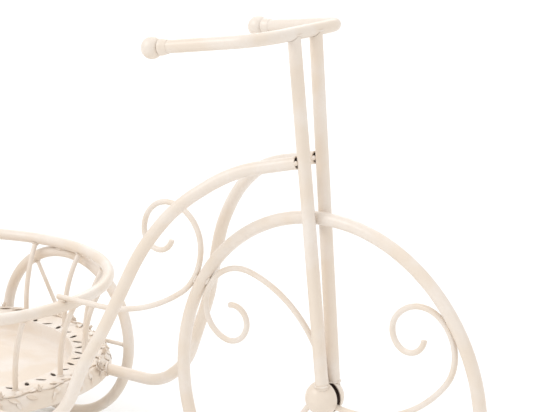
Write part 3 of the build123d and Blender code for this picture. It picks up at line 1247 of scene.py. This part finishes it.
    def leaves(self, leaf: Piece) -> None:
        """Lay leaves on the top of the rim and over its shoulder, in pairs beside each rose."""
        parts = []
        for number in range(self.sectors):
            for row in self.leaf_rows:
                for step in row.steps:
                    parts.append(copy_to(leaf, self.lay_leaf(row, self.rose_angle(number), step)))
        self.shop.deliver(join(parts, "garland_leaves"), Finish.GARLAND, "tray_leaves")

    def buds(self, bud: Piece) -> None:
        """Stand buds between the roses, the larger ones leaning out and the slim ones upright."""
        parts = []
        for number in range(self.sectors):
            for step, lean, size in self.bud_spots:
                angle = self.rose_angle(number) + step
                out = heading(angle) * sin(lean) + UP * cos(lean)
                place = self.sizes.on_tray(
                    self.sizes.tray_r - 8.2 * MM, angle, self.sizes.tray_top - 0.8 * MM
                )
                parts.append(copy_to(bud, pose(place, out, self.bud_turn * number, (size,) * 3)))
        self.shop.deliver(join(parts, "garland_buds"), Finish.GARLAND, "tray_buds")

    def vine(self) -> None:
        """Run a twisting stem round the rim under the roses."""
        stem = primitive(
            "torus",
            "garland_vine",
            major_radius=self.sizes.tray_r - 9.0 * MM,
            minor_radius=1.1 * MM,
            major_segments=288,
            minor_segments=8,
        )
        waves = 4 * self.sectors
        for vertex in stem.data.vertices:
            turn = Vector((1, 0)).angle_signed(vertex.co.xy, 0.0)
            swing = 1 + 2.2 * MM * sin(waves * turn) / vertex.co.xy.length
            vertex.co.x *= swing
            vertex.co.y *= swing
            vertex.co.z += 0.35 * MM * cos(waves * turn)
        stem.data.transform(
            Matrix.Translation((self.sizes.ring.x, 0.0, self.sizes.tray_top + 0.4 * MM))
        )
        smooth(stem, 60.0)
        self.shop.deliver(stem, Finish.GARLAND)

    def build(self) -> None:
        """Model each flower and leaf once and set the copies round the tray."""
        leaf = self.leaf()
        bud = self.bud(leaf)
        rose = self.rose()
        self.leaves(leaf)
        self.buds(bud)
        self.roses(rose)
        drop(leaf, bud, rose)
        self.vine()


@dataclass
class PhotoCamera:
    """The camera of the photograph, from its worked-out place, heading and lens."""

    place: Place = (1.3448, -1.5043, 0.8000)
    heading: Place = (-0.5983, 0.7542, -0.2708)
    focal_px: float = 2168.06
    centre_px: tuple[float, float] = (232.54, 282.19)
    picture_px: tuple[float, float] = (550.0, 412.0)
    sensor: float = 36.0

    def build(self) -> None:
        """Make the camera and set it as the scene's."""
        wide, high = self.picture_px
        data = bpy.data.cameras.new("photo_camera")
        data.sensor_width = self.sensor
        data.lens = self.sensor * self.focal_px / wide
        data.shift_x = 0.5 - self.centre_px[0] / wide
        data.shift_y = (self.centre_px[1] - high / 2) / wide
        data.clip_end = 100.0
        camera = bpy.data.objects.new("photo_camera", data)
        camera.location = self.place
        camera.rotation_euler = Vector(self.heading).to_track_quat("-Z", "Y").to_euler()
        bpy.context.scene.collection.objects.link(camera)
        bpy.context.scene.camera = camera
        log.info("camera: %.1f mm", data.lens)


class Softbox(NamedTuple):
    """A square lamp: its name, place, what it faces, its side and its power in watts."""

    name: str
    place: Place
    target: Place
    size: float
    power: float


@dataclass
class Studio:
    """Plain pale floor and soft white light."""

    shop: Workshop
    floor_size: float = 24.0
    sky: Colour = (1.0, 1.0, 1.0)
    sky_strength: float = 0.93
    lamps: tuple[Softbox, ...] = (
        Softbox("key_softbox", (-1.6, -2.2, 2.6), (0.0, 0.0, 0.2), 1.6, 34.0),
        Softbox("fill_softbox", (2.8, -1.2, 1.6), (0.0, 0.0, 0.2), 2.2, 6.0),
        Softbox("top_softbox", (0.2, 0.6, 3.0), (0.0, 0.0, 0.2), 2.4, 14.0),
        Softbox("backdrop_softbox", (-2.3, 3.6, 2.4), (-2.3, 3.4, 0.0), 3.4, 52.0),
    )

    def floor(self) -> None:
        """Lay the floor and give it the paper's material."""
        paper = primitive("plane", "studio_floor", size=self.floor_size)
        with shaping(paper):
            pick_all()
            bpy.ops.mesh.subdivide(number_cuts=3)
        paper.data.materials.append(self.shop.materials[Finish.FLOOR])

    def light(self) -> None:
        """Set the sky and the softboxes, each turned to the stand."""
        scene = bpy.context.scene
        scene.view_settings.view_transform = "Standard"
        world = scene.world or bpy.data.worlds.new("studio_sky")
        scene.world = world
        world.use_nodes = True
        sky = world.node_tree.nodes["Background"]
        sky.inputs["Color"].default_value = (*self.sky, 1.0)
        sky.inputs["Strength"].default_value = self.sky_strength
        for box in self.lamps:
            data = bpy.data.lights.new(box.name, "AREA")
            data.size = box.size
            data.energy = box.power
            lamp = bpy.data.objects.new(box.name, data)
            lamp.location = box.place
            aim = Vector(box.target) - lamp.location
            lamp.rotation_euler = aim.to_track_quat("-Z", "Y").to_euler()
            scene.collection.objects.link(lamp)

    def build(self) -> None:
        """Set up floor and light."""
        self.floor()
        self.light()
        log.info("studio: %d softboxes", len(self.lamps))


def hub_hollow_shade(side: str) -> HollowShade:
    """Give the painted shade inside one hub shell, from its box."""
    low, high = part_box(f"hub_shell_{side}")
    open_y = low.y if low.y > 0 else high.y
    middle = (low + high) / 2
    radius = (high.x - low.x) / 2
    return HollowShade((middle.x, open_y, middle.z), radius - 0.9 * MM)


def bore_hollow_shade(side: str) -> HollowShade:
    """Give the painted shade in the bore at the open upper end of one frame tube."""
    end = top_end(f"frame_tube_{side}")
    return HollowShade(tuple(end.centre), end.radius - 1.1 * MM, tuple(end.out))


def finishes() -> dict[Finish, PowderCoat | StudioFloor]:
    """Give every finish of the stand and its floor."""
    ornament = {"tone_size": 9 * MM, "grain_size": 1.8 * MM, "peel_size": 0.7 * MM, "clear_coat": 0.1}
    bead = {"tone_size": 6 * MM, "grain_size": 1.2 * MM, "peel_size": 0.8 * MM, "peel_height": 0.08 * MM}
    coats = {
        Finish.TUBE: {},
        Finish.ROD: {"tone_size": 30 * MM, "grain_size": 2.4 * MM, "peel_size": 0.9 * MM, "gloss": 0.40},
        Finish.TRAY: {"tone_size": 38 * MM, "gloss": 0.46, "clear_coat": 0.1, "peel_height": 0.06 * MM},
        Finish.GARLAND: {"thick": (0.66, 0.53, 0.40), "gloss": 0.46, **ornament},
        Finish.WELD: {"thick": (0.67, 0.55, 0.43), "gloss": 0.44, **bead},
        Finish.HUB_LEFT: {"hollow_shade": hub_hollow_shade("left")},
        Finish.HUB_RIGHT: {"hollow_shade": hub_hollow_shade("right")},
        Finish.FRAME_LEFT: {"hollow_shade": bore_hollow_shade("left")},
        Finish.FRAME_RIGHT: {"hollow_shade": bore_hollow_shade("right")},
    }
    made = {finish: PowderCoat(finish.value, **settings) for finish, settings in coats.items()}
    return {**made, Finish.FLOOR: StudioFloor(Finish.FLOOR.value)}


def main() -> None:
    """Build the stand's looks, from the wheels to the studio."""
    shop = Workshop(finishes())
    sizes = Sizes()
    welds = WeldMaker()
    for section in (FrontWheel, Fork, Basket, RearWheels, Tray, Garland):
        section(sizes, shop, welds).build()
    PhotoCamera().build()
    Studio(shop).build()


if __name__ == "__main__":
    main()
